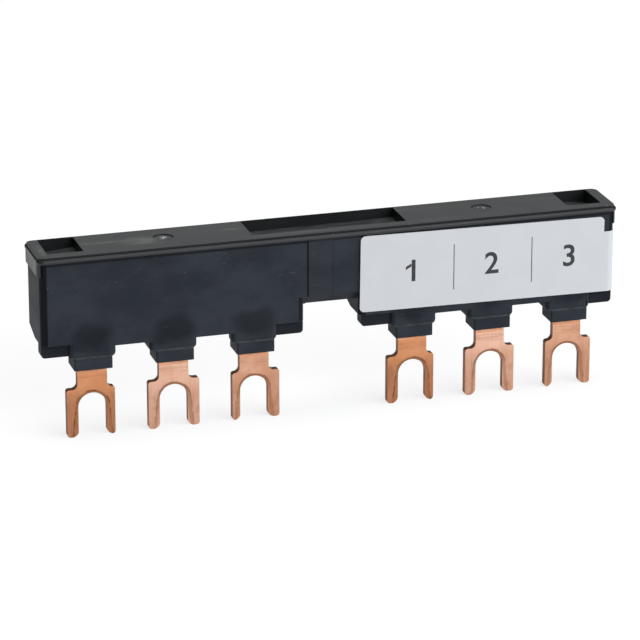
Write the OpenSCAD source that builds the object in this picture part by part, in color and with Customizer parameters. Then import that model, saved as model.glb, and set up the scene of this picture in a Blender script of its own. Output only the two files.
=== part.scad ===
// Three-pole comb busbar with two tap-offs, for linking two motor circuit breakers.
// X runs along the busbar, -Y is the printed front, +Z is up and the forks hang down.
// The origin is under the middle of the box, level with the tips of the forks.

/* [Tap-offs] */
// Distance between neighbouring poles of one breaker
pole_pitch = 13.5; // [13:0.25:16]
// Distance between the two breakers
breaker_pitch = 54; // [52:0.5:60]
// How far the forks stand to the right of the middle of the box
tap_shift = 0.25; // [0:0.05:0.5]
// Width of the neck of a fork
neck_w = 4.9; // [4:0.1:5.5]
// Thickness of the copper
copper_t = 1.2; // [0.8:0.1:1.4]
// Width of the fork's slot, which takes the clamp screw
slot_w = 4.7; // [4.3:0.1:5]
// Length of the slot, from its crown to the tips
slot_len = 7.35; // [6:0.25:10]
// Width of a wide tine
tine_w = 1.9; // [1.6:0.1:2]
// Width of a narrow tine, on the side that faces the middle pole
tine_narrow_w = 1.35; // [1:0.05:1.5]
// Distance from the front wall back to the forks
fork_setback = 0.85; // [0.6:0.05:1.2]
// Length of bare copper from the shoe to the fork's shoulder
bare_neck = 3.45; // [2:0.25:6]

/* [Housing] */
// Distance from the outer fork to the end wall
end_margin = 8.05; // [7.5:0.25:12]
// Depth between the front and rear walls, outside
body_depth = 10.2; // [9.8:0.2:14]
// Thickness of the housing's walls
wall_t = 1.2; // [0.9:0.1:1.3]
// Height of the housing at its two blocks, below the cover's lip
block_h = 13.7; // [13.3:0.25:20]
// Height of the bridge between the blocks, below the cover's lip
bridge_h = 11.3; // [11:0.1:12]
// Left edge of the gap under the bridge, from the middle
gap_left = 4.87; // [4.5:0.01:5.5]
// Right edge of the gap under the bridge, from the middle
gap_right = 4.4; // [4:0.1:4.6]
// Radius of the vertical corners
corner_r = 1.3; // [0.6:0.1:1.6]
// Chamfer along the bottom of the bridge
bridge_chamfer = 1.8; // [0.5:0.1:2]
// Setback of the bridge's face, next to the left block
bridge_step = 0.3; // [0.1:0.05:0.5]

/* [Shoes] */
// Width of the shoe round each tap-off
shoe_w = 6.6; // [6.2:0.1:7]
// Depth of the shoe, front to back
shoe_d = 5.4; // [4.8:0.1:6]
// Height of the shoe below the block
shoe_h = 2.8; // [1.5:0.1:4]
// Height of the collar below the shoe
collar_h = 1.8; // [1:0.1:3]
// Amount by which the collar is smaller than the shoe, all round
collar_inset = 0.2; // [0.1:0.05:0.4]
// Height of the apron of the front wall, below the block
apron_h = 0.9; // [0.4:0.1:1.4]
// Height of the tongues beside the outer shoes, below the block
tongue_h = 2.15; // [1.2:0.05:2.4]

/* [Cover] */
// Height of the cover's flat top and lip
cover_h = 1.1; // [0.9:0.05:1.6]
// Radius of the bead that runs round the lip
bead_r = 0.42; // [0.3:0.02:0.48]
// Amount by which the lip stands proud of the walls
lip_proud = 0.25; // [0.1:0.05:0.4]
// Depth of the pockets in the top, at their shallow end
pocket_depth = 1.65; // [1.2:0.05:2]
// Extra depth of the end pockets at their outer end
pocket_fall = 0.5; // [0.2:0.05:0.7]
// Length of each end pocket
end_pocket_len = 5.9; // [4:0.1:7]
// Length of the middle pocket
mid_pocket_len = 26; // [16:0.5:30]
// Width of the rim at the ends of the top
end_rim = 2.1; // [1.6:0.1:3]
// Width of the rim at the front of the top
front_rim = 2.05; // [1.5:0.05:3]
// Height of the skirt over each end wall
skirt_h = 2.1; // [1:0.1:4]
// Amount by which the skirt stands proud of the end wall
skirt_proud = 0.35; // [0.2:0.05:0.4]
// Diameter of the round gate marks
gate_d = 3.3; // [2:0.1:4]

/* [Conductors] */
// Height of each flat bar
bar_h = 7.4; // [5:0.1:7.6]
// Thickness of each insulating strip
insulator_t = 0.8; // [0.5:0.1:1]
// Play between each bar or strip and its neighbour
stack_play = 0.3; // [0.15:0.05:0.35]
// Play round the neck where it passes through its shoe
neck_play = 0.15; // [0.1:0.05:0.25]

/* [Label] */
// Height of the label
label_h = 13; // [8:0.25:13]
// Thickness of the label
label_t = 0.1; // [0.06:0.01:0.2]
// Length of the label that is folded round the end
label_wrap = 6; // [2:0.5:7]
// Tilt of the label, as it was stuck on
label_tilt = 0.7; // [0:0.1:0.8]

/* [Hidden] */
$fn = 48;

// Heights, upwards from the tips of the forks
crown_z = slot_len;                       // crown of the slot
crown_web = 0.8;                          // copper above the crown, below the shoulders
shoulder_z = crown_z + crown_web;
collar_z = shoulder_z + bare_neck;        // underside of the collar
shoe_z = collar_z + collar_h;             // underside of the shoe
block_z = shoe_z + shoe_h;                // underside of the block
lip_z = block_z + block_h;                // underside of the lip, top of the housing
top_z = lip_z + cover_h;                  // flat top of the cover
bridge_z = lip_z - bridge_h;              // underside of the bridge
skirt_z = lip_z - skirt_h;

// Places along X and Y
outer_pole_x = breaker_pitch / 2 + pole_pitch;
end_x = outer_pole_x + end_margin;        // face of each end wall
front_y = -body_depth / 2;
rear_y = body_depth / 2;
fork_y = front_y + fork_setback;          // front face of the forks
tap_x = [for (breaker = [-1, 1], pole = [-1, 0, 1]) tap_shift + breaker * breaker_pitch / 2 + pole * pole_pitch];
shoe_left = [0.55, 0.8, 0.6];             // each pole's shoe runs on to the left by this
shoe_right = [0.6, 0.5, 0.4];             // and to the right by this
left_edge_x = -gap_left;                  // inner end of the left block
right_edge_x = gap_right;                 // inner end of the right block

// Inside of the housing
floor_t = 1.2;
block_floor_z = block_z + floor_t;
bridge_floor_z = bridge_z + floor_t;
inside_front_y = front_y + wall_t;
inside_rear_y = rear_y - wall_t;

// The stack of three bars and two strips, centred between the walls
bar_z = bridge_floor_z + 0.2;             // lower edge of the bars, just clear of the bridge's floor
bar_top_z = bar_z + bar_h;
layer = copper_t + insulator_t + 2 * stack_play;
function bar_y(pole) = -copper_t / 2 + (pole - 2) * layer;
function insulator_y(gap) = bar_y(gap) + copper_t + stack_play;
strip_overhang = 0.25;                    // strips stand out past the bars at the bottom
bar_end_play = 0.5;

shelf_z = block_floor_z + neck_play;      // underside of the folded shelf
kick = 0.35;                              // the neck kicks forward by this below the collar
kick_h = 0.65;
bevel_w = 0.45;                           // width of the coined bevel at the crown
bevel_spread = 6;                       // the bevel widens towards the tips at this angle

spigot_t = 0.9;
spigot_h = 1.6;
spigot_play = 0.1;
tub_wall = 0.5;
tub_floor = 0.7;
slab_inset = 0.2;                         // the flat top is set in from the walls by this
slab_r = 0.12;
groove_w = 0.16;
groove_d = 0.55;
gate_offset = 0.4;                        // the gates lie this far behind the middle line
gate_sink = 0.12;
shoe_r = 0.8;
collar_r = 0.3;
rear_rise = 0.9;                          // the underside rises by this towards the rear
shoe_shallow_d = 2.8;                     // depth of the third shoe
collar_d = 4.7;                           // depth of a collar, from the front wall
collar_lap = 0.3;                         // the collar stands proud of the shoe's rounded edge up to here
tongue_back = 0.75;                       // the tongues are set back from the front wall by this
tongue_t = 2.2;
eps = 0.01;

// Each pocket: left end, right end, depth at the left, depth at the right
pocket_front_y = front_y + slab_inset + front_rim;
pocket_rear_y = rear_y - tub_wall;
pocket_outer_x = end_x + skirt_proud - end_rim;
pocket_deep = pocket_depth + pocket_fall;
pockets = [[-pocket_outer_x, end_pocket_len - pocket_outer_x, pocket_deep, pocket_depth],
           [-mid_pocket_len / 2, mid_pocket_len / 2, pocket_depth + 0.3, pocket_depth],
           [pocket_outer_x - end_pocket_len, pocket_outer_x, pocket_depth, pocket_deep]];
function tub_z(p) = top_z - max(p[2], p[3]) - tub_floor;

// ---------- shared shapes ----------

module box(x0, y0, z0, x1, y1, z1) {
    translate([x0, y0, z0]) cube([x1 - x0, y1 - y0, z1 - z0]);
}

// Rounded rectangle from two corners, with true arcs
module round_rect(x0, y0, x1, y1, r) {
    translate([x0 + r, y0]) square([x1 - x0 - 2 * r, y1 - y0]);
    translate([x0, y0 + r]) square([x1 - x0, y1 - y0 - 2 * r]);
    for (x = [x0 + r, x1 - r], y = [y0 + r, y1 - r])
        translate([x, y]) circle(r);
}

// Upright prism of a rounded rectangle, with true arcs
module round_box(x0, y0, z0, x1, y1, z1, r) {
    translate([0, 0, z0]) linear_extrude(z1 - z0) round_rect(x0, y0, x1, y1, r);
}

// Moulded block: upright corners of radius r, and a small radius e round the top and bottom edges
module soft_box(x0, y0, z0, x1, y1, z1, r, e_bottom, e_top) {
    hull()
        for (x = [x0 + r, x1 - r], y = [y0 + r, y1 - r]) {
            translate([x, y, z0 + e_bottom]) cylinder(r = r, h = z1 - z0 - e_bottom - e_top, $fn = 32);
            translate([x, y, z0 + e_bottom * 0.3])
                cylinder(r = r - e_bottom * 0.3, h = z1 - z0 - (e_bottom + e_top) * 0.3, $fn = 32);
            translate([x, y, z0]) cylinder(r = r - max(e_bottom, e_top), h = z1 - z0, $fn = 32);
        }
}

// Prism along X of a profile drawn in Y and Z
module along_x(x0, x1) {
    translate([x0, 0, 0]) rotate([90, 0, 90]) linear_extrude(x1 - x0) children();
}

// Prism along Y of a profile drawn in X and Z
module along_y(y0, y1) {
    translate([0, y1, 0]) rotate([90, 0, 0]) linear_extrude(y1 - y0) children();
}

// ---------- housing ----------

// Shoe and collar round tap-off i; the shoe's lower edge is rounded, so that the top of the square
// collar shows as a small ledge
module shoe(i, x) {
    left = x - shoe_w / 2 - shoe_left[i % 3];
    right = x + shoe_w / 2 + shoe_right[i % 3];
    rear = front_y + (i == 2 ? shoe_shallow_d : shoe_d);
    hull()
        for (sx = [left + shoe_r, right - shoe_r], sy = [front_y + shoe_r, rear - shoe_r]) {
            translate([sx, sy, shoe_z + shoe_r]) sphere(shoe_r, $fn = 24);
            translate([sx, sy, shoe_z + shoe_r]) cylinder(r = shoe_r, h = block_floor_z - shoe_z - shoe_r, $fn = 24);
        }
    collar_left = x - shoe_w / 2 + collar_inset + 0.05;
    collar_right = x + shoe_w / 2 - collar_inset + 0.17;
    hull()
        for (sx = [collar_left + collar_r, collar_right - collar_r],
             sy = [front_y + 0.03 + collar_r, front_y + collar_d - collar_r])
            translate([sx, sy, collar_z]) cylinder(r = collar_r, h = collar_h + collar_lap, $fn = 24);
    // stem that joins the rear of the collar to the block
    hull()
        for (sx = [collar_left + collar_r + 0.03, collar_right - collar_r - 0.03],
             sy = [front_y + 1.5, front_y + collar_d - collar_r - 0.03])
            translate([sx, sy, collar_z + 0.5]) cylinder(r = collar_r, h = block_floor_z - collar_z - 0.52, $fn = 24);
}

// One tongue, set back from the front wall, with its lower corners rounded
module tongue(x0, x1) {
    r = 0.6;
    hull()
        for (x = [x0 + r, x1 - r]) {
            translate([x, front_y + tongue_back, block_z - tongue_h + r]) rotate([-90, 0, 0])
                cylinder(r = r, h = tongue_t, $fn = 24);
            translate([x - r, front_y + tongue_back, block_z]) cube([2 * r, tongue_t, 0.4]);
        }
}

// Main body of one block: upright corners rounded, underside rising behind the middle
module block_body(x0, x1) {
    r = corner_r;
    hull()
        for (x = [x0 + r, x1 - r]) {
            translate([x, front_y + r, block_z]) cylinder(r = r, h = block_h + 1, $fn = 32);
            translate([x - r, 0, block_z]) cube([2 * r, 0.1, block_h]);
            translate([x, rear_y - r, block_z + rear_rise + 0.25]) cylinder(r = r, h = block_h - rear_rise, $fn = 32);
            translate([x, rear_y - r, block_z + rear_rise]) cylinder(r = r - 0.25, h = block_h - rear_rise, $fn = 32);
        }
}

// Outside of one block, with its apron, tongues and shoes
module block(x0, x1, first) {
    taps = [for (i = [0:2]) tap_x[first + i]];
    block_body(x0, x1);
    soft_box(taps[0] - shoe_w / 2, front_y + 0.02, block_z - apron_h, taps[2] + shoe_w / 2,
             front_y + wall_t, block_z + 2, 0.25, 0.15, 0.02);
    tongue(x0 + (first > 0 ? 0.5 : 0.05), taps[0]);
    tongue(taps[2], x1 - 0.15);
    for (i = [0:2]) shoe(first + i, taps[i]);
}

// Run of the bridge whose face stands at f; it is chamfered along the bottom of its front and rear
module bridge_run(x0, x1, f) {
    c = bridge_chamfer;
    r = rear_y - bridge_step / 3;
    along_x(x0, x1)
        polygon([[f, top_z], [f, bridge_z + c], [f + c, bridge_z], [r - c, bridge_z],
                 [r, bridge_z + c], [r, top_z]]);
}

// The right half stands a little forward, and the left block's face runs on past its edge
module bridge() {
    f = front_y + bridge_step;
    bridge_run(left_edge_x - 2, right_edge_x + 2, f);
    bridge_run(0, right_edge_x + 1.5, f - 0.05);
    bridge_run(left_edge_x - 1.5, left_edge_x + 0.52, front_y + 0.02);
}

// Narrow groove where the left block's face meets the bridge
module joint_groove() {
    x = left_edge_x + 0.52;
    box(x - 0.08, front_y - 1, bridge_z + bridge_chamfer + 0.1, x + 0.12, front_y + bridge_step + 0.3, top_z + 1);
}

// Slot for the neck of one fork, from the floor down through its shoe
module neck_slot(x) {
    box(x - neck_w / 2 - neck_play, fork_y + kick - neck_play, collar_z - 1,
        x + neck_w / 2 + neck_play, fork_y + kick + copper_t + neck_play, block_floor_z + eps);
}

// Window in the rear wall for the tub of one pocket
module tub_window(p) {
    m = tub_wall + spigot_play;
    box(p[0] - m, inside_rear_y - 1, tub_z(p) - spigot_play, p[1] + m, rear_y + 1, top_z);
}

module housing() {
    color([0.16, 0.17, 0.19])
    difference() {
        union() {
            block(-end_x, left_edge_x, 0);
            block(right_edge_x, end_x, 3);
            bridge();
        }
        box(-end_x + wall_t, inside_front_y, bridge_floor_z, end_x - wall_t, inside_rear_y, top_z);
        box(-end_x + wall_t, inside_front_y, block_floor_z, left_edge_x - wall_t, inside_rear_y, top_z);
        box(right_edge_x + wall_t, inside_front_y, block_floor_z, end_x - wall_t, inside_rear_y, top_z);
        for (x = tap_x) neck_slot(x);
        for (p = pockets) tub_window(p);
        joint_groove();
        box(-end_x - 1, front_y - 1, lip_z, end_x + 1, rear_y + 1, top_z + 2);
    }
}

// ---------- cover ----------

// Lip with its half-round bead, as one plate with a rounded edge
module lip_plate() {
    x = end_x + skirt_proud + 0.07 - corner_r;
    y = body_depth / 2 + lip_proud - corner_r;
    hull()
        for (s = [-1, 1], t = [-1, 1])
            translate([s * x, t * y, lip_z + bead_r])
                rotate_extrude($fn = 40) translate([corner_r - bead_r, 0]) circle(bead_r, $fn = 16);
}

// Groove round the foot of the flat top
module lip_groove() {
    x = end_x + skirt_proud - slab_inset + groove_w;
    y = body_depth / 2 - slab_inset + groove_w;
    soft_box(-x, -y, top_z - groove_d, x, y, top_z + 1, corner_r - 0.1, 0, 0);
}

// Flat top, set in from the lip, with a thin radius round its upper edge
module slab() {
    x = end_x + skirt_proud - slab_inset;
    soft_box(-x, front_y + slab_inset, lip_z, x, rear_y - slab_inset, top_z, corner_r - 0.2, 0, slab_r);
}

// Skirt over one end wall, wrapping round its two corners
module skirt(side) {
    x = end_x + skirt_proud;
    reach = corner_r * 0.15;
    difference() {
        soft_box(-x, front_y - 0.08, skirt_z, x, rear_y + 0.08, lip_z + bead_r, corner_r + 0.2, 0.1, 0);
        soft_box(-end_x, front_y, skirt_z - 1, end_x, rear_y, lip_z, corner_r, 0, 0);
        box(side > 0 ? -x - 1 : -end_x + reach, front_y - 1, skirt_z - 1,
            side > 0 ? end_x - reach : x + 1, rear_y + 1, top_z);
    }
}

module pocket(p) {
    along_y(pocket_front_y, pocket_rear_y)
        polygon([[p[0], top_z + 1], [p[0], top_z - p[2]], [p[1], top_z - p[3]], [p[1], top_z + 1]]);
}

// Tub that closes a pocket from below; it fills the window in the rear wall
module tub(p) {
    box(p[0] - tub_wall, pocket_front_y - tub_wall, tub_z(p), p[1] + tub_wall, rear_y, lip_z + eps);
}

// Round gate mark, sunk a little, with its nub
module gate_mark(x) {
    translate([x, gate_offset, top_z - gate_sink]) cylinder(d = gate_d, h = 1);
}

module gate_nub(x) {
    translate([x, gate_offset, top_z - gate_sink - eps]) cylinder(r1 = 0.4, r2 = 0.25, h = gate_sink, $fn = 16);
}

// Spigot that locates the cover inside the housing's walls
module spigot() {
    x = end_x - wall_t - spigot_play;
    y = body_depth / 2 - wall_t - spigot_play;
    difference() {
        box(-x, -y, lip_z - spigot_h, x, y, lip_z + eps);
        box(-x + spigot_t, -y + spigot_t, lip_z - spigot_h - 1, x - spigot_t, y - spigot_t, lip_z);
    }
}

module cover() {
    color([0.2, 0.21, 0.22])
    union() {
        difference() {
            union() {
                slab();
                difference() {
                    lip_plate();
                    lip_groove();
                }
                spigot();
                for (p = pockets) tub(p);
            }
            for (p = pockets) pocket(p);
            for (s = [-1, 1]) gate_mark(s * breaker_pitch / 2);
        }
        for (s = [-1, 1]) gate_nub(s * breaker_pitch / 2);
        for (s = [-1, 1]) skirt(s);
    }
}

// ---------- conductors ----------

// Flat outline of one fork, seen from the front, with its slot open at the bottom.
// The left and right tines have their own widths.
module fork_outline(left_w, right_w) {
    half = slot_w / 2;
    fillet_r = 0.9;
    tip_r = 0.55;
    difference() {
        union() {
            // head
            translate([-half - left_w, tip_r]) square([slot_w + left_w + right_w, shoulder_z - tip_r - 0.4]);
            translate([-half - left_w + 0.4, tip_r])
                square([slot_w + left_w + right_w - 0.8, shoulder_z - tip_r]);
            for (x = [-half - left_w + 0.4, half + right_w - 0.4])
                translate([x, shoulder_z - 0.4]) circle(0.4);
            // tips
            for (x = [-half - left_w + tip_r, half + right_w - tip_r])
                translate([x, tip_r]) circle(tip_r);
            translate([-half - left_w + tip_r, 0]) square([left_w - tip_r, 1]);
            translate([half, 0]) square([right_w - tip_r, 1]);
            // fillets between the neck and the shoulders
            difference() {
                translate([-neck_w / 2 - fillet_r, shoulder_z - 0.1]) square([neck_w + 2 * fillet_r, fillet_r + 0.1]);
                for (s = [-1, 1])
                    translate([s * (neck_w / 2 + fillet_r), shoulder_z + fillet_r]) circle(fillet_r);
            }
        }
        // slot with a round crown
        translate([0, crown_z - half]) circle(half);
        translate([-half, -1]) square([slot_w, crown_z - half + 1]);
        // the inner corners of the tips are rounded away as a lead-in
        for (s = [-1, 1])
            translate([s * half, 0]) lead_in(s);
    }
}

// Corner cut of a tip, on its slot side
module lead_in(s) {
    r = 0.95;
    difference() {
        translate([s > 0 ? -eps : -r, -1]) square([r + eps, r + 1]);
        translate([s * r, r]) circle(r);
    }
}

// Coined bevel along the slot, on the front face: even round the crown, wider towards the tips
module coin_bevel() {
    foot = slot_w / 2 - 0.03;
    deep = copper_t * 0.17;
    wide = bevel_w + 0.03;
    crown = crown_z - slot_w / 2;
    intersection() {
        translate([0, fork_y + deep, crown]) rotate([90, 0, 0])
            cylinder(r1 = foot, r2 = foot + wide, h = deep + eps);
        box(-slot_w, fork_y - 1, crown, slot_w, fork_y + 1, crown_z + 2);
    }
    for (s = [-1, 1])
        difference() {
            translate([s * foot, 0, crown]) rotate([0, -s * bevel_spread, 0]) translate([0, 0, -crown - 1])
                linear_extrude(crown + 2)
                    polygon([[-s, fork_y - eps], [s * wide * cos(bevel_spread), fork_y - eps],
                             [0, fork_y + deep], [-s, fork_y + deep]]);
            box(-slot_w - 2, fork_y - 1, crown, slot_w + 2, fork_y + 1, crown_z + 2);
        }
}

// Side view of one tap-off, in Y and Z: down from the bar, forward on a shelf, down through the shoe,
// and a small kick forward to the plane of the forks
module tap_profile(pole) {
    t = copper_t;
    by = bar_y(pole);
    ny = fork_y + kick;
    top = shelf_z + t;
    translate([by, shelf_z]) square([t, bar_z + 1 - shelf_z]);
    translate([ny, shelf_z]) square([by + t - ny, t]);
    translate([ny, collar_z - 0.1]) square([t, top - collar_z + 0.1]);
    polygon([[ny, collar_z - 0.1 + eps], [ny + t, collar_z - 0.1 + eps],
             [fork_y + t, collar_z - 0.1 - kick_h], [fork_y, collar_z - 0.1 - kick_h]]);
    translate([fork_y, shoulder_z]) square([t, collar_z - 0.1 - kick_h - shoulder_z + eps]);
}

// One tap-off with its fork
module tap(x, pole) {
    left_w = pole == 3 ? tine_narrow_w : tine_w;
    right_w = pole == 1 ? tine_narrow_w : tine_w;
    along_x(x - neck_w / 2, x + neck_w / 2) tap_profile(pole);
    translate([x, 0, 0])
        difference() {
            along_y(fork_y, fork_y + copper_t) fork_outline(left_w, right_w);
            coin_bevel();
        }
}

// One stamped and folded conductor with its two forks
module bar(pole) {
    taps = [tap_x[pole - 1], tap_x[pole + 2]];
    y = bar_y(pole);
    color([0.78, 0.5, 0.34])
    union() {
        box(taps[0] - neck_w / 2 - 1, y, bar_z, taps[1] + neck_w / 2 + 1, y + copper_t, bar_top_z);
        for (x = taps) tap(x, pole);
    }
}

module bar_pole_1() { bar(1); }
module bar_pole_2() { bar(2); }
module bar_pole_3() { bar(3); }

// ---------- insulation ----------

// Insulating strip between two bars; it stops above the folded shelves
module insulator(gap) {
    x = end_x - wall_t - bar_end_play;
    y = insulator_y(gap);
    color([0.83, 0.8, 0.7])
        box(-x, y, bar_z - strip_overhang + 0.1, x, y + insulator_t, bar_top_z + 0.5);
}

module insulator_front() { insulator(1); }
module insulator_rear() { insulator(2); }

// ---------- label ----------

// Sticker on the right block's front, folded round its end
module label() {
    left = right_edge_x + 0.15;
    right = end_x - 1.9;
    tab_drop = 2.6;
    sheet_y = front_y - label_t;
    color([0.86, 0.86, 0.86])
    intersection() {
        difference() {
            round_box(-end_x, sheet_y, block_z, end_x + label_t, rear_y, lip_z, corner_r + label_t);
            round_box(-end_x - 1, front_y, block_z - 1, end_x, rear_y + 1, lip_z + 1, corner_r);
            box(-end_x - 1, front_y + label_wrap, block_z - 1, end_x + 1, rear_y + 2, lip_z + 1);
        }
        translate([left, 0, lip_z - 0.1]) rotate([0, label_tilt, 0])
            along_y(front_y - 1, rear_y) union() {
                translate([0, -label_h]) {
                    round_rect(0, 0, right - left, label_h, 0.8);
                    round_rect(0, 0, end_x - left + 3, label_h - tab_drop, 0.8);
                    translate([right - left - 1, label_h - tab_drop - 1]) square([1, 1]);
                }
            }
    }
}

housing();
cover();
bar_pole_1();
bar_pole_2();
bar_pole_3();
insulator_front();
insulator_rear();
label();
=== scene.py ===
import math

import bmesh
import bpy
from mathutils import Matrix, Vector


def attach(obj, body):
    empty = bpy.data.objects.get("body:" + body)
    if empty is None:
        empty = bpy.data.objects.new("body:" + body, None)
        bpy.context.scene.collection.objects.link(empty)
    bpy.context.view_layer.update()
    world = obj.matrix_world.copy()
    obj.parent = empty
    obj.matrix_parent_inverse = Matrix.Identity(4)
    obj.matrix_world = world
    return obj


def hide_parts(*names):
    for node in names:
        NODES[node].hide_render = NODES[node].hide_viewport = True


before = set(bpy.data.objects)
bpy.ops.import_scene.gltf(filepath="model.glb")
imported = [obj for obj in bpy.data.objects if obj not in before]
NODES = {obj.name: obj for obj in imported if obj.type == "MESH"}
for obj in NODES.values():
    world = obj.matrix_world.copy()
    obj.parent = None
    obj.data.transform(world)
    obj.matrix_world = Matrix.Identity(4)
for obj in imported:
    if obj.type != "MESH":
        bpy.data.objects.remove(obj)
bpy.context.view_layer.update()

MM = 0.001

# heights and places on the busbar, in the solids' own frame
FEET_SHIFT = 0.25 * MM           # the feet lie on whole pitches once they are moved by this
HALF_PITCH = 6.75 * MM
CROWN_Z = 5.0 * MM               # centre of the round crown of each fork's slot
COINING_R = 2.82 * MM            # outer edge of the coining, from the slot's axis
COINING_SPREAD = 0.105           # how fast the coining widens down the tines
SHOE_TOP_Z = 13.76 * MM
BLOCK_Z = 16.3 * MM
SINK_Z = 17.0 * MM
LEFT_BLOCK_END_X = -4.33 * MM
FRONT_Y = -4.8 * MM              # behind the front wall's face, ahead of the recessed parts
GATE_X, GATE_Y, GATE_R = 27.0 * MM, 0.4 * MM, 1.65 * MM
GROOVE_X, GROOVE_Y = 48.77 * MM, 4.97 * MM
PRINT_FRONT_Y, PRINT_BACK_Y = -5.211, -5.199     # the label's print, in millimetres


# ---------- camera, light and floor ----------

def add_camera():
    """Camera to the left of the front, looking down a little, with a long lens."""
    azimuth, elevation, distance = math.radians(-16.72), math.radians(19.62), 0.5994
    target = Vector((-0.00234, -0.0051, 0.01619))
    back = Vector((math.sin(azimuth) * math.cos(elevation),
                   -math.cos(azimuth) * math.cos(elevation), math.sin(elevation)))
    data = bpy.data.cameras.new("camera")
    data.sensor_width = 36
    data.lens = 207.49
    data.clip_start, data.clip_end = 0.01, 20
    camera = bpy.data.objects.new("camera", data)
    bpy.context.scene.collection.objects.link(camera)
    camera.location = target + back * distance
    camera.rotation_mode = "QUATERNION"
    camera.rotation_quaternion = (-back).to_track_quat("-Z", "Y")
    bpy.context.scene.camera = camera


def add_softbox(name, place, aim, width, height, power, colour=(1, 1, 1)):
    data = bpy.data.lights.new(name, "AREA")
    data.shape = "RECTANGLE"
    data.size, data.size_y = width, height
    data.energy = power
    data.color = colour
    lamp = bpy.data.objects.new(name, data)
    bpy.context.scene.collection.objects.link(lamp)
    lamp.location = place
    lamp.rotation_mode = "QUATERNION"
    lamp.rotation_quaternion = (Vector(aim) - Vector(place)).to_track_quat("-Z", "Y")


def seen_ray(nodes, links):
    """1 for rays from the camera, and for those that metal and glass send on."""
    path = nodes.new("ShaderNodeLightPath")
    first = nodes.new("ShaderNodeMath")
    first.operation = "MAXIMUM"
    links.new(path.outputs["Is Camera Ray"], first.inputs[0])
    links.new(path.outputs["Is Glossy Ray"], first.inputs[1])
    second = nodes.new("ShaderNodeMath")
    second.operation = "MAXIMUM"
    links.new(first.outputs[0], second.inputs[0])
    links.new(path.outputs["Is Transmission Ray"], second.inputs[1])
    return second.outputs[0]


def add_world():
    world = bpy.data.worlds.new("studio")
    bpy.context.scene.world = world
    world.use_nodes = True
    nodes, links = world.node_tree.nodes, world.node_tree.links
    background = nodes["Background"]
    path = nodes.new("ShaderNodeLightPath")
    strength = nodes.new("ShaderNodeMapRange")
    links.new(path.outputs["Is Camera Ray"], strength.inputs["Value"])
    strength.inputs["To Min"].default_value = 0.14
    strength.inputs["To Max"].default_value = 1.0
    links.new(strength.outputs["Result"], background.inputs["Strength"])
    background.inputs["Color"].default_value = (1, 1, 1, 1)


def add_floor():
    mesh = bpy.data.meshes.new("floor")
    bm = bmesh.new()
    bmesh.ops.create_grid(bm, x_segments=1, y_segments=1, size=3)
    bm.to_mesh(mesh)
    bm.free()
    floor = bpy.data.objects.new("floor", mesh)
    bpy.context.scene.collection.objects.link(floor)
    material = bpy.data.materials.new("floor_paper")
    material.use_nodes = True
    nodes, links = material.node_tree.nodes, material.node_tree.links
    nodes.remove(nodes["Principled BSDF"])
    paper = nodes.new("ShaderNodeBsdfDiffuse")
    paper.inputs["Color"].default_value = (0.32, 0.32, 0.32, 1)
    glow = nodes.new("ShaderNodeEmission")
    scale = nodes.new("ShaderNodeMath")
    scale.operation = "MULTIPLY"
    links.new(seen_ray(nodes, links), scale.inputs[0])
    scale.inputs[1].default_value = 0.78
    links.new(scale.outputs[0], glow.inputs["Strength"])
    both = nodes.new("ShaderNodeAddShader")
    links.new(paper.outputs[0], both.inputs[0])
    links.new(glow.outputs[0], both.inputs[1])
    links.new(both.outputs[0], nodes["Material Output"].inputs["Surface"])
    mesh.materials.append(material)


def set_stage():
    add_camera()
    add_world()
    add_floor()
    add_softbox("lamp_over", (0.0, 0.1, 0.8), (0, 0, 0.02), 0.8, 0.4, 2.4)
    add_softbox("lamp_back", (0.1, 0.95, 0.36), (0, 0, 0.02), 1.5, 0.5, 1.1)
    add_softbox("lamp_left", (-0.6, 0.5, 0.3), (-0.04, 0, 0.02), 0.4, 0.3, 0.15, (1.0, 0.95, 0.88))
    add_softbox("lamp_right", (0.50, -0.72, 0.45), (0, 0, 0.02), 1.4, 0.72, 11.0, (0.93, 0.96, 1.0))
    view = bpy.context.scene.view_settings
    view.view_transform = "Standard"


# ---------- node tools ----------

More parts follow.
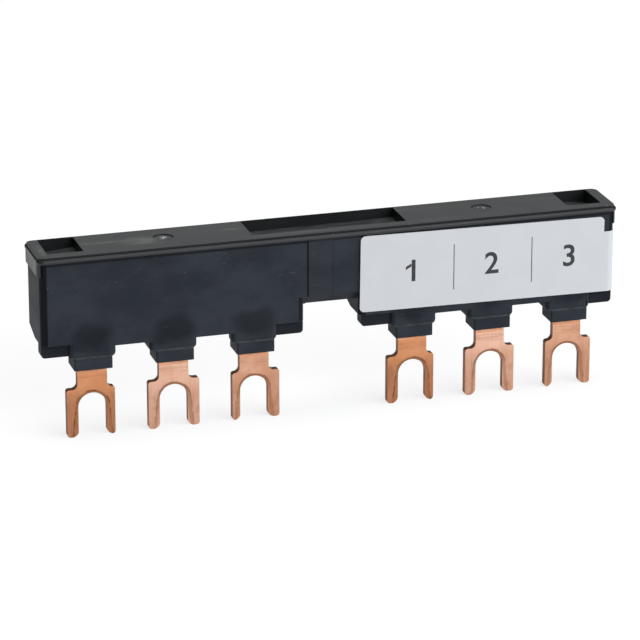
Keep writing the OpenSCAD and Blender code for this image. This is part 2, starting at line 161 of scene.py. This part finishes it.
class Tree:
    """Short ways to place and join shader nodes in one tree."""

    def __init__(self, tree):
        self.nodes, self.links = tree.nodes, tree.links

    def set(self, socket, value):
        if isinstance(value, bpy.types.NodeSocket):
            self.links.new(value, socket)
        else:
            socket.default_value = value

    def node(self, kind, out=0, **values):
        node = self.nodes.new("ShaderNode" + kind)
        inputs = values.pop("inputs", {})
        for key, value in values.items():
            setattr(node, key, value)
        for key, value in inputs.items():
            self.set(node.inputs[key], value)
        return node.outputs[out]

    def math(self, operation, *values):
        return self.node("Math", operation=operation, inputs=dict(enumerate(values)))

    def times(self, first, *others):
        for other in others:
            first = self.math("MULTIPLY", first, other)
        return first

    def size(self, value):
        """The value without its sign."""
        return self.math("ABSOLUTE", value)

    def ramp(self, value, low, high, to_low=0.0, to_high=1.0):
        return self.node("MapRange", interpolation_type="SMOOTHSTEP",
                         inputs={"Value": value, "From Min": low, "From Max": high,
                                 "To Min": to_low, "To Max": to_high})

    def near(self, value, middle, half):
        """1 where the value is near the middle, fading out at its half width."""
        return self.ramp(self.size(self.math("SUBTRACT", value, middle)), half, half * 0.45)

    def mix(self, factor, a, b):
        node = self.nodes.new("ShaderNodeMix")
        node.data_type = "RGBA"
        self.set(node.inputs["Factor"], factor)
        self.set(node.inputs[6], a)
        self.set(node.inputs[7], b)
        return node.outputs[2]

    def place(self, scale=(1, 1, 1), shift=(0, 0, 0), turn=(0, 0, 0)):
        own = self.nodes.new("ShaderNodeTexCoord").outputs["Object"]
        return self.node("Mapping", inputs={"Vector": own, "Location": shift,
                                            "Rotation": turn, "Scale": scale})

    def axes(self, vector):
        parts = self.node("SeparateXYZ", inputs={0: vector}).node.outputs
        return parts["X"], parts["Y"], parts["Z"]

    def normal(self):
        """The face's own direction, as X, Y and Z."""
        return self.axes(self.node("NewGeometry", out="True Normal"))

    def noise(self, vector, scale, detail=2.0, rough=0.5):
        return self.node("TexNoise", inputs={"Vector": vector, "Scale": scale,
                                             "Detail": detail, "Roughness": rough})

    def length(self, a, b):
        """Length of the line with these two parts, square to each other."""
        return self.math("SQRT", self.math("ADD", self.times(a, a), self.times(b, b)))


def new_group(name, inputs, outputs):
    """A shader node group of plain numbers: inputs are name: default, outputs are names."""
    group = bpy.data.node_groups.new(name, "ShaderNodeTree")
    for key, default in inputs.items():
        socket = group.interface.new_socket(name=key, in_out="INPUT",
                                            socket_type="NodeSocketFloat")
        socket.default_value = default
    for key in outputs:
        group.interface.new_socket(name=key, in_out="OUTPUT", socket_type="NodeSocketFloat")
    tree = Tree(group)
    tree.entry = group.nodes.new("NodeGroupInput").outputs
    tree.exit = group.nodes.new("NodeGroupOutput").inputs
    return tree


def use_group(tree, name, **values):
    node = tree.nodes.new("ShaderNodeGroup")
    node.node_tree = bpy.data.node_groups[name]
    for key, value in values.items():
        tree.set(node.inputs[key], value)
    return node.outputs


def new_material(name, **constants):
    """A material whose shader has these constants, such as IOR, on its own sockets."""
    material = bpy.data.materials.new(name)
    material.use_nodes = True
    tree = Tree(material.node_tree)
    tree.shader = tree.nodes["Principled BSDF"].inputs
    for key, value in constants.items():
        tree.shader[key.replace("_", " ")].default_value = value
    tree.material = material
    return tree


def finish_material(t, base, rough, height=None, strength=0.0, relief=0.0):
    """Colour, roughness and, where a height is given, its relief."""
    t.set(t.shader["Base Color"], base)
    t.set(t.shader["Roughness"], rough)
    if height is not None:
        t.set(t.shader["Normal"], t.node("Bump", inputs={"Strength": strength, "Distance": relief,
                                                         "Height": height}))
    return t.material


# ---------- shared effects ----------

def make_scratches():
    """A few short hairline scratches, some along the front and some along the top."""
    t = new_group("scratches", {"Amount": 0.5}, ["Mask"])
    masks = []
    for across, turn, seed in (((70, 70, 1100), (0, 0.3, 0), 3.1),
                               ((90, 90, 1300), (0, -0.9, 0), 7.7),
                               ((80, 1200, 60), (0, 0, 0.4), 5.3)):
        place = t.place(scale=across, shift=(seed, seed, seed), turn=turn)
        cells = t.node("TexVoronoi", feature="F1",
                       inputs={"Vector": place, "Scale": 1.0, "Randomness": 1.0})
        masks.append(t.ramp(cells, 0.05, 0.03))
    every = t.math("MAXIMUM", t.math("MAXIMUM", masks[0], masks[1]), masks[2])
    t.set(t.exit["Mask"], t.times(every, t.entry["Amount"]))


def make_dust():
    """Small pale specks, few and uneven."""
    t = new_group("dust", {"Scale": 700.0, "Amount": 0.5}, ["Mask"])
    cells = t.node("TexVoronoi", feature="F1",
                   inputs={"Vector": t.place(), "Scale": t.entry["Scale"], "Randomness": 1.0})
    patches = t.noise(t.place(shift=(0.3, 0.1, 0.2)), 110.0, 2.0)
    t.set(t.exit["Mask"], t.times(t.ramp(cells, 0.11, 0.05), t.ramp(patches, 0.56, 0.66),
                                  t.entry["Amount"]))


def make_moulding():
    """Moulded plastic: slow clouds, streaks along the flow and a fine grain."""
    t = new_group("moulding", {"Grain": 5200.0}, ["Clouds", "Streaks", "Height"])
    t.set(t.exit["Clouds"], t.noise(t.place(scale=(1, 1, 1.8)), 95.0, 4.0, 0.6))
    streaks = t.noise(t.place(scale=(22, 420, 420)), 1.0, 3.0, 0.6)
    t.set(t.exit["Streaks"], t.ramp(streaks, 0.52, 0.72))
    t.set(t.exit["Height"], t.noise(t.place(), t.entry["Grain"], 2.0, 0.6))


def across_feet(t):
    """Distance across from the nearest foot's axis, signed, and the height."""
    x, _, z = t.axes(t.place(shift=(-FEET_SHIFT, 0, 0)))
    return t.math("WRAP", x, HALF_PITCH, -HALF_PITCH), z


def foot_oval(t, centre_z, half_x, half_z):
    """Distance from a height on the nearest foot's axis, 1 on an oval of the two half widths."""
    across, z = across_feet(t)
    return t.length(t.math("DIVIDE", across, half_x),
                    t.math("DIVIDE", t.math("SUBTRACT", z, centre_z), half_z))


def plan_oval(t, x, y, half_x, half_y):
    """Distance from a place in plan, 1 on an oval of the two half widths."""
    across, along, _ = t.axes(t.place(shift=(-x, -y, 0)))
    return t.length(t.math("DIVIDE", across, half_x), t.math("DIVIDE", along, half_y))


def wear(t, scratches, dust_scale, dust):
    """Where the surface is marked: scratches at half their strength, or dust where it is denser."""
    lines = use_group(t, "scratches", Amount=scratches)["Mask"]
    specks = use_group(t, "dust", Scale=dust_scale, Amount=dust)["Mask"]
    return t.math("MAXIMUM", t.times(lines, 0.5), specks)


# ---------- materials ----------

def housing_plastic():
    """Cold near-black plastic, fine-grained, with painted shade over the feet's soft sink marks, in
    recesses and on corners, and painted highlights on upper edges.
    """
    t = new_material("housing_plastic", Specular_IOR_Level=0.1)
    mould = use_group(t, "moulding", Grain=5200.0)
    worn = wear(t, 0.8, 900.0, 0.45)
    x, y, z = t.axes(t.place())
    normal_x, normal_y, normal_z = t.normal()
    front = t.ramp(y, FRONT_Y + 0.1 * MM, FRONT_Y - 0.1 * MM)
    above_feet = t.ramp(z, BLOCK_Z - 0.1 * MM, BLOCK_Z + 0.1 * MM)
    below_block = t.math("SUBTRACT", 1.0, above_feet)
    base = t.mix(t.ramp(mould["Clouds"], 0.34, 0.66),
                 (0.0245, 0.0290, 0.0375, 1), (0.0400, 0.0455, 0.0560, 1))
    base = t.mix(t.times(mould["Streaks"], 0.35), base, (0.030, 0.035, 0.045, 1))
    # painted shade of the shallow sink marks over the feet, with a ragged rim
    ragged = t.times(t.math("SUBTRACT", t.noise(t.place(), 300.0, 2.0), 0.5), 0.9)
    sink = t.math("ADD", foot_oval(t, SINK_Z, 4.4 * MM, 3.4 * MM), ragged)
    sink = t.ramp(sink, 1.0, 0.35)
    base = t.mix(t.times(sink, 0.5), base, (0.003, 0.0045, 0.007, 1))
    # painted shade on the recessed parts under the blocks, darkened to near-black
    recess_shade = t.times(below_block, t.ramp(y, -4.65 * MM, -4.45 * MM))
    base = t.mix(t.times(recess_shade, 0.6), base, (0.004, 0.0045, 0.006, 1))
    # painted shade under the cover's bead, in the step beside the left block, and a painted dark
    # reflection on the rounded corners
    bead_shade = t.times(t.ramp(z, 29.45 * MM, 29.70 * MM), front)
    base = t.mix(t.times(bead_shade, 0.75), base, (0.003, 0.0035, 0.005, 1))
    # painted shade in the step beside the left block
    joint_shade = t.times(t.near(x, LEFT_BLOCK_END_X, 0.24 * MM), above_feet)
    # painted dark reflection on the rounded vertical corners
    dark_corner_reflection = t.times(t.ramp(t.size(t.times(normal_x, normal_y)), 0.08, 0.26), above_feet)
    base = t.mix(t.times(t.math("MAXIMUM", joint_shade, dark_corner_reflection), 0.85), base, (0.003, 0.0035, 0.005, 1))
    # painted highlight on the upper edges of the shoes and collars, which face up to the lamps, and
    # on the line where the shoes meet the apron
    tine_rub_and_edge_highlight = t.times(t.ramp(normal_z, 0.2, 0.4), t.ramp(t.size(normal_y), 0.2, 0.4), below_block)
    base = t.mix(t.times(tine_rub_and_edge_highlight, 0.6), base, (0.10, 0.11, 0.12, 1))
    uneven = t.ramp(t.noise(t.place(), 420.0, 2.0), 0.3, 0.55, 0.35, 1.0)
    # painted highlight along the shoes' top ledge, broken up by noise
    ledge_highlight = t.times(t.near(z, SHOE_TOP_Z, 0.20 * MM), front, uneven)
    base = t.mix(ledge_highlight, base, (0.10, 0.11, 0.12, 1))
    base = t.mix(worn, base, (0.2, 0.21, 0.23, 1))
    rough = t.math("ADD", t.ramp(mould["Clouds"], 0.3, 0.75, 0.5, 0.6), t.times(sink, 0.06))
    rough = t.math("ADD", rough, t.times(worn, 0.2))
    return finish_material(t, base, rough, mould["Height"], 0.18, 0.04 * MM)


def cover_plastic():
    """Warmer black plastic: flow streaks along its length, chafed patches, painted shade on the
    pocket walls and in the groove, painted light on the pocket floors.
    """
    t = new_material("cover_plastic", Specular_IOR_Level=0.3)
    mould = use_group(t, "moulding", Grain=4300.0)
    worn = wear(t, 0.9, 800.0, 0.45)
    x, y, z = t.axes(t.place())
    upright = t.ramp(t.size(t.normal()[2]), 0.6, 0.3)
    level = t.math("SUBTRACT", 1.0, upright)
    base = t.mix(t.ramp(mould["Clouds"], 0.3, 0.75),
                 (0.030, 0.0325, 0.034, 1), (0.042, 0.0450, 0.046, 1))
    base = t.mix(t.times(mould["Streaks"], level, 0.5), base, (0.085, 0.089, 0.088, 1))
    # chafed patches, broken into streaks: centre and half widths in millimetres, and strength
    rubs = t.noise(t.place(scale=(260, 1500, 300), turn=(0, 0, 0.2)), 1.0, 3.0, 0.65)
    broken = t.ramp(rubs, 0.40, 0.62, 0.35, 1.0)
    for at_x, at_y, half_x, half_y, strength in ((-31.0, -0.4, 4.4, 2.6, 0.85),
                                                 (-47.4, -0.8, 0.7, 3.6, 0.7),
                                                 (-37.5, 0.4, 5.5, 0.8, 0.6),
                                                 (-15.0, 1.2, 3.0, 0.6, 0.6)):
        patch = plan_oval(t, at_x * MM, at_y * MM, half_x * MM, half_y * MM)
        base = t.mix(t.times(t.ramp(patch, 1.0, 0.3), broken, strength), base,
                     (0.15, 0.148, 0.14, 1))
    # gate marks: a dark ring and a pale torn middle
    for at_x in (-GATE_X, GATE_X):
        gate = plan_oval(t, at_x, GATE_Y, GATE_R, GATE_R)
        ring = t.times(t.ramp(gate, 0.86, 0.95), t.ramp(gate, 1.12, 1.02))
        base = t.mix(t.times(ring, 0.75), base, (0.004, 0.004, 0.004, 1))
        torn = t.ramp(t.noise(t.place(), 1500.0, 2.0), 0.48, 0.6)
        base = t.mix(t.times(t.ramp(gate, 0.5, 0.25), torn), base, (0.42, 0.43, 0.44, 1))
    # pockets: painted shade darkens the walls to near-black, and painted light makes the floor pale
    inside = t.times(t.ramp(t.size(y), 4.95 * MM, 4.80 * MM),
                     t.ramp(t.size(x), 48.2 * MM, 48.1 * MM))
    base = t.mix(t.times(upright, inside, 0.8), base, (0.004, 0.0045, 0.005, 1))
    floor = t.times(level, t.ramp(z, 30.7 * MM, 30.6 * MM), inside, t.ramp(rubs, 0.35, 0.7))
    base = t.mix(t.times(floor, 0.55), base, (0.12, 0.12, 0.115, 1))
    # painted shade in the groove between the bead and the flat top
    groove_shade = t.math("MAXIMUM", t.near(t.size(y), GROOVE_Y, 0.24 * MM),
                    t.near(t.size(x), GROOVE_X, 0.24 * MM))
    groove_shade = t.times(groove_shade, t.ramp(z, 30.3 * MM, 30.5 * MM))
    base = t.mix(t.times(groove_shade, 0.85), base, (0.004, 0.0045, 0.005, 1))
    base = t.mix(worn, base, (0.26, 0.27, 0.27, 1))
    rough = t.math("ADD", t.ramp(mould["Clouds"], 0.3, 0.75, 0.36, 0.46),
                   t.times(mould["Streaks"], -0.05))
    rough = t.math("ADD", rough, t.times(worn, 0.2))
    return finish_material(t, base, rough, mould["Height"], 0.22, 0.05 * MM)


def bare_copper(name, face_colour, deep_colour, rub):
    """Bare rolled copper: pale faces with a roll grain, a coined crown with painted shade, and
    brown sheared edges partly darkened by painted shade.
    """
    t = new_material(name, Metallic=1.0)
    place = t.place()
    height = t.axes(place)[2]
    flat = t.size(t.normal()[1])
    patches = t.noise(place, 240.0, 3.0, 0.55)
    face = t.mix(t.ramp(patches, 0.35, 0.68), face_colour, deep_colour)
    roll = t.noise(t.place(scale=(2600, 2600, 160)), 1.0, 2.0)
    face = t.mix(t.ramp(roll, 0.4, 0.8, 0.0, 0.2), face, (0.46, 0.22, 0.12, 1))
    # tool marks below the kick, as a broken brown band
    band = t.times(t.ramp(height, 8.8 * MM, 9.7 * MM), t.ramp(height, 10.8 * MM, 10.1 * MM))
    marks = t.ramp(t.noise(t.place(scale=(260, 500, 2400)), 1.0, 3.0, 0.6), 0.4, 0.62)
    face = t.mix(t.times(band, marks, 0.32), face, (0.33, 0.14, 0.07, 1))
    # the tines are rubbed brown, in streaks and blots, and darken towards their tips
    streaks = t.noise(t.place(scale=(1500, 1500, 210)), 1.0, 3.0, 0.65)
    blots = t.noise(t.place(shift=(0.2, 0, 0)), 520.0, 3.0, 0.6)
    tine_rub_and_edge_highlight = t.math("MAXIMUM", t.ramp(streaks, 0.46, 0.66), t.ramp(blots, 0.5, 0.66))
    tine_rub_and_edge_highlight = t.times(tine_rub_and_edge_highlight, t.ramp(height, 8.5 * MM, 5.0 * MM), rub)
    face = t.mix(tine_rub_and_edge_highlight, face, (0.27, 0.115, 0.06, 1))
    face = t.mix(t.times(t.ramp(height, 9.2 * MM, 5.0 * MM), rub), face, (0.38, 0.16, 0.08, 1))
    # coined faces lean a little and are browned with painted shade, and end in a broken dark line
    # of painted shade round the crown and down the tines
    coined_face_shade = t.times(t.ramp(flat, 0.995, 0.97), t.ramp(height, 4.5 * MM, 6.8 * MM, 0.4, 0.9))
    face = t.mix(coined_face_shade, face, (0.30, 0.135, 0.07, 1))
    across, up = across_feet(t)
    over = t.math("SUBTRACT", up, CROWN_Z)
    reach = t.math("ADD", t.length(across, t.math("MAXIMUM", over, 0.0)),
                   t.times(t.math("MINIMUM", over, 0.0), COINING_SPREAD))
    broken = t.ramp(t.noise(t.place(), 650.0, 2.0), 0.42, 0.60, 0.1, 1.0)
    line = t.times(t.near(reach, COINING_R, 0.14 * MM), t.ramp(flat, 0.8, 0.9), broken)
    face = t.mix(t.times(line, rub + 0.15), face, (0.14, 0.055, 0.028, 1))
    # sheared edges look to the side, up or down; their brown is partly the sheared metal's own and
    # partly painted shade on the side faces
    edge = t.ramp(flat, 0.7, 0.35)
    shear = t.noise(t.place(scale=(2200, 300, 300)), 1.0, 2.0)
    brown = t.mix(t.ramp(shear, 0.35, 0.7), (0.09, 0.032, 0.014, 1), (0.20, 0.08, 0.038, 1))
    base = t.mix(t.times(edge, 0.9), face, brown)
    tarnish = t.ramp(t.noise(place, 700.0, 3.0, 0.7), 0.66, 0.76)
    base = t.mix(t.times(tarnish, 0.6), base, (0.14, 0.06, 0.035, 1))
    rough = t.math("ADD", t.ramp(patches, 0.3, 0.7, 0.32, 0.42), t.times(edge, 0.12))
    return finish_material(t, base, rough, roll, 0.15, 0.03 * MM)


def label_film():
    """White film with a faint mottle and a little grime."""
    t = new_material("label_film", IOR=1.46)
    place = t.place()
    mottle = t.noise(place, 260.0, 2.0, 0.5)
    base = t.mix(t.ramp(mottle, 0.35, 0.7), (0.775, 0.785, 0.805, 1), (0.795, 0.805, 0.82, 1))
    grime = use_group(t, "dust", Scale=600.0, Amount=0.35)["Mask"]
    base = t.mix(grime, base, (0.42, 0.42, 0.42, 1))
    return finish_material(t, base, t.ramp(mottle, 0.3, 0.7, 0.42, 0.52),
                           t.noise(place, 2600.0, 2.0), 0.08, 0.02 * MM)


def print_ink():
    """Dark grey print, a little uneven."""
    t = new_material("print_ink")
    spread = t.noise(t.place(), 1500.0, 2.0)
    base = t.mix(t.ramp(spread, 0.35, 0.7), (0.020, 0.021, 0.027, 1), (0.038, 0.039, 0.045, 1))
    return finish_material(t, base, t.ramp(spread, 0.3, 0.7, 0.45, 0.6))


def pressboard():
    """Insulating sheet: pale fibrous board."""
    t = new_material("pressboard")
    fibre = t.noise(t.place(scale=(120, 900, 900)), 1.0, 4.0, 0.6)
    base = t.mix(t.ramp(fibre, 0.35, 0.7), (0.50, 0.46, 0.36, 1), (0.60, 0.56, 0.47, 1))
    return finish_material(t, base, t.ramp(fibre, 0.3, 0.7, 0.6, 0.75))


# ---------- pieces ----------

def add_piece(mesh, material, slot, *stands_for):
    """A piece from a mesh that is already in place, named as the mesh is."""
    piece = bpy.data.objects.new(mesh.name, mesh)
    bpy.context.scene.collection.objects.link(piece)
    paint(mesh, material)
    if stands_for:
        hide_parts(*stands_for)
    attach(piece, "root")
    return piece


def paint(mesh, material):
    mesh.materials.clear()
    mesh.materials.append(material)


def new_mesh(bm, name):
    mesh = bpy.data.meshes.new(name)
    bm.to_mesh(mesh)
    bm.free()
    return mesh


def soften(bm, edges, radius):
    bmesh.ops.bevel(bm, geom=edges, offset=radius, offset_type="OFFSET", segments=2, profile=0.5,
                    affect="EDGES", clamp_overlap=True, material=-1)


def dress(node, name, material, slot, radius, sharp_angle=35):
    """The node's own form: flats cleaned, small radii on its sharp edges, smooth rounds."""
    mesh = NODES[node].data.copy()
    mesh.name = name
    bm = bmesh.new()
    bm.from_mesh(mesh)
    bmesh.ops.remove_doubles(bm, verts=bm.verts, dist=0.002 * MM)
    bmesh.ops.dissolve_limit(bm, angle_limit=math.radians(0.6), verts=bm.verts, edges=bm.edges,
                             delimit=set())
    soften(bm, [edge for edge in bm.edges if len(edge.link_faces) == 2
                and edge.calc_face_angle(0) > math.radians(28)], radius)
    for face in bm.faces:
        face.smooth = True
    bm.to_mesh(mesh)
    bm.free()
    mesh.set_sharp_from_angle(angle=math.radians(sharp_angle))
    piece = add_piece(mesh, material, slot, node)
    flats = piece.modifiers.new("flats", "WEIGHTED_NORMAL")
    flats.weight = 100
    flats.keep_sharp = True


def numeral(text, name, at, material):
    """A flat figure on the label: at is its lower left corner, in millimetres."""
    curve = bpy.data.curves.new(name, "FONT")
    curve.body = text
    curve.size = 5.2 * MM
    curve.extrude = 0.006 * MM
    curve.offset = 0.07 * MM
    written = bpy.data.objects.new(name, curve)
    bpy.context.scene.collection.objects.link(written)
    bpy.context.view_layer.update()
    graph = bpy.context.evaluated_depsgraph_get()
    mesh = bpy.data.meshes.new_from_object(written.evaluated_get(graph))
    bpy.data.objects.remove(written)
    mesh.name = name
    mesh.transform(Matrix.Translation(Vector(at) * MM) @ Matrix.Rotation(math.radians(90), 4, "X"))
    add_piece(mesh, material, "label")


def printed_rule(name, x, z0, z1, material):
    """A thin upright rule on the label, in millimetres."""
    bm = bmesh.new()
    bmesh.ops.create_cube(bm, size=1.0)
    bmesh.ops.scale(bm, vec=(0.14 * MM, (PRINT_BACK_Y - PRINT_FRONT_Y) * MM, (z1 - z0) * MM),
                    verts=bm.verts)
    middle = Vector((x, (PRINT_FRONT_Y + PRINT_BACK_Y) / 2, (z0 + z1) / 2)) * MM
    bmesh.ops.translate(bm, vec=middle, verts=bm.verts)
    soften(bm, list(bm.edges), 0.002 * MM)
    add_piece(new_mesh(bm, name), material, "label")


def printed_plate(name, corners, material):
    """A thin printed shape on the label, from its corners in X and Z, in millimetres."""
    bm = bmesh.new()
    plate = bm.faces.new([bm.verts.new(Vector((x, PRINT_BACK_Y, z)) * MM) for x, z in corners])
    grown = bmesh.ops.extrude_face_region(bm, geom=[plate])["geom"]
    bmesh.ops.translate(bm, vec=(0, (PRINT_FRONT_Y - PRINT_BACK_Y) * MM, 0),
                        verts=[part for part in grown if isinstance(part, bmesh.types.BMVert)])
    bmesh.ops.recalc_face_normals(bm, faces=bm.faces)
    add_piece(new_mesh(bm, name), material, "label")


def add_label_print(ink):
    """Plain pole numbers, one over each right fork, with a thin rule between the fields."""
    foot_z = 21.4
    starts = [fork_x - 1.5 for fork_x in (13.75, 27.25, 40.75)]
    for number, start in enumerate(starts, 1):
        numeral(str(number), f"label_number_{number}", (start, -5.206, foot_z), ink)
    stem_x = starts[0] + 0.93
    flag = ((0.0, 3.0), (0.0, 2.5), (-0.95, 1.95), (-0.95, 2.5))
    printed_plate("label_number_1_flag", [(stem_x + x, foot_z + z) for x, z in flag], ink)
    for number, x in enumerate((20.5, 34.0), 1):
        printed_rule(f"label_rule_{number}", x, 19.2, 27.0, ink)


# each bar's face colour, its deeper colour and how far its tines are rubbed
COPPER_TONES = {1: ((0.61, 0.26, 0.12, 1), (0.68, 0.30, 0.15, 1), 0.75),
                2: ((0.76, 0.44, 0.31, 1), (0.82, 0.50, 0.38, 1), 0.33),
                3: ((0.62, 0.32, 0.20, 1), (0.75, 0.42, 0.29, 1), 0.35)}


def build():
    make_scratches()
    make_dust()
    make_moulding()
    dress("housing", "housing_moulding", housing_plastic(), "housing_plastic", 0.12 * MM)
    dress("cover", "cover_moulding", cover_plastic(), "cover_plastic", 0.07 * MM)
    for pole, (face, deep, rub) in COPPER_TONES.items():
        dress(f"bar_pole_{pole}", f"bar_{pole}_stamping",
              bare_copper(f"copper_{pole}", face, deep, rub), "copper", 0.09 * MM, 18)
    board = pressboard()
    for node in ("insulator_front", "insulator_rear"):
        paint(NODES[node].data, board)
    paint(NODES["label"].data, label_film())
    add_label_print(print_ink())


set_stage()
build()
